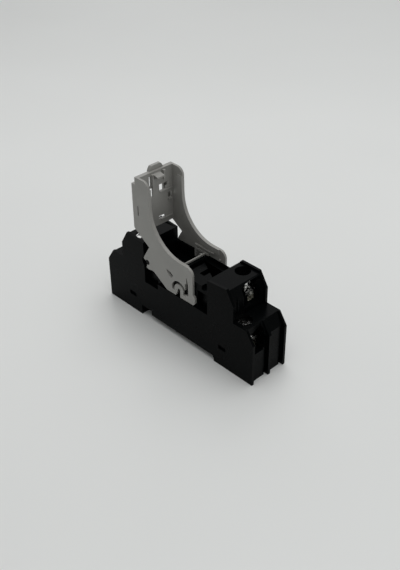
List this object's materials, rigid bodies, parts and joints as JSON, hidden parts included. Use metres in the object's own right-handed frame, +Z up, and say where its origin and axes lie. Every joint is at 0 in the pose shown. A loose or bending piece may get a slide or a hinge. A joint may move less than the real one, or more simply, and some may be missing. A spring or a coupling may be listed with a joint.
{
  "type": "relay socket",
  "caption": "Narrow black rail-mount relay socket with box-clamp screw terminals on stepped ends and a pale hinged lever that holds and ejects a plug-in relay.",
  "frame": {"origin": "centre of the footprint of the whole socket, at the rail side on which it stands", "axes": "+X along the socket towards the end with the two staggered contact terminals, +Y towards the side with the upper contact terminal, +Z up, away from the rail"},
  "size_m": [0.07, 0.0154, 0.0556],
  "materials": {
    "body_plastic": "satin black moulded plastic",
    "cover_plastic": "satin black moulded plastic",
    "lever_plastic": "pale warm grey moulded plastic",
    "screw_steel": "zinc-plated steel",
    "zinc_steel": "zinc-plated steel",
    "tinned_brass": "tinned copper alloy"
  },
  "bodies": {
    "housing": {"housing": "body_plastic", "base_cover": "cover_plastic", "clamp_box_coil_near": "zinc_steel", "clamp_box_coil_far": "zinc_steel", "clamp_box_left_upper": "zinc_steel", "clamp_box_right_upper": "zinc_steel", "clamp_box_right_lower": "zinc_steel", "contact_coil_near": "tinned_brass", "contact_coil_far": "tinned_brass", "contact_left_upper": "tinned_brass", "contact_right_upper": "tinned_brass", "contact_right_lower": "tinned_brass"},
    "rail_latch": {"rail_latch": "cover_plastic"},
    "release_lever": {"release_lever": "lever_plastic"},
    "pressure_plate_coil_near": {"pressure_plate_coil_near": "zinc_steel"},
    "terminal_screw_coil_near": {"terminal_screw_coil_near": "screw_steel"},
    "pressure_plate_coil_far": {"pressure_plate_coil_far": "zinc_steel"},
    "terminal_screw_coil_far": {"terminal_screw_coil_far": "screw_steel"},
    "pressure_plate_left_upper": {"pressure_plate_left_upper": "zinc_steel"},
    "terminal_screw_left_upper": {"terminal_screw_left_upper": "screw_steel"},
    "pressure_plate_right_upper": {"pressure_plate_right_upper": "zinc_steel"},
    "terminal_screw_right_upper": {"terminal_screw_right_upper": "screw_steel"},
    "pressure_plate_right_lower": {"pressure_plate_right_lower": "zinc_steel"},
    "terminal_screw_right_lower": {"terminal_screw_right_lower": "screw_steel"}
  },
  "joints": [
    {"name": "latch_slide", "type": "slide", "parent": "housing", "child": "rail_latch", "axis": [-1, 0, 0], "range_m": [0, 0.002], "stiffness_N_per_m": 1500, "springref_m": -0.001},
    {"name": "lever_pivot", "type": "hinge", "parent": "housing", "child": "release_lever", "pos_m": [-0.0133, 0, 0.0238], "axis": [0, -1, 0], "range_deg": [0, 15]},
    {"name": "clamp_travel_coil_near", "type": "slide", "parent": "housing", "child": "pressure_plate_coil_near", "axis": [0, 0, 1], "range_m": [-0.002, 0.0005]},
    {"name": "screw_turn_coil_near", "type": "hinge", "parent": "pressure_plate_coil_near", "child": "terminal_screw_coil_near", "pos_m": [-0.0276, -0.0038, 0.0171], "axis": [0, 0, 1], "range_deg": [-1440.1, 360.1]},
    {"name": "clamp_travel_coil_far", "type": "slide", "parent": "housing", "child": "pressure_plate_coil_far", "axis": [0, 0, 1], "range_m": [-0.001, 0.0015]},
    {"name": "screw_turn_coil_far", "type": "hinge", "parent": "pressure_plate_coil_far", "child": "terminal_screw_coil_far", "pos_m": [-0.0276, 0.0038, 0.0161], "axis": [0, 0, 1], "range_deg": [-720.1, 1080.1]},
    {"name": "clamp_travel_left_upper", "type": "slide", "parent": "housing", "child": "pressure_plate_left_upper", "axis": [0, 0, 1], "range_m": [-0.0024, 0.0001]},
    {"name": "screw_turn_left_upper", "type": "hinge", "parent": "pressure_plate_left_upper", "child": "terminal_screw_left_upper", "pos_m": [-0.0192, -0.0039, 0.0279], "axis": [0, 0, 1], "range_deg": [-1728.1, 72.1]},
    {"name": "clamp_travel_right_upper", "type": "slide", "parent": "housing", "child": "pressure_plate_right_upper", "axis": [0, 0, 1], "range_m": [0, 0.0025]},
    {"name": "screw_turn_right_upper", "type": "hinge", "parent": "pressure_plate_right_upper", "child": "terminal_screw_right_upper", "pos_m": [0.0192, 0.0039, 0.0255], "axis": [0, 0, 1], "range_deg": [-0.1, 1800.1]},
    {"name": "clamp_travel_right_lower", "type": "slide", "parent": "housing", "child": "pressure_plate_right_lower", "axis": [0, 0, 1], "range_m": [-0.0019, 0.0006]},
    {"name": "screw_turn_right_lower", "type": "hinge", "parent": "pressure_plate_right_lower", "child": "terminal_screw_right_lower", "pos_m": [0.0276, -0.0038, 0.017], "axis": [0, 0, 1], "range_deg": [-1368.1, 432.1]}
  ],
  "couplings": [
    {"joint": "screw_turn_coil_near", "follows": "clamp_travel_coil_near", "rad_per_m": 12566},
    {"joint": "screw_turn_coil_far", "follows": "clamp_travel_coil_far", "rad_per_m": 12566},
    {"joint": "screw_turn_left_upper", "follows": "clamp_travel_left_upper", "rad_per_m": 12566},
    {"joint": "screw_turn_right_upper", "follows": "clamp_travel_right_upper", "rad_per_m": 12566},
    {"joint": "screw_turn_right_lower", "follows": "clamp_travel_right_lower", "rad_per_m": 12566}
  ]
}
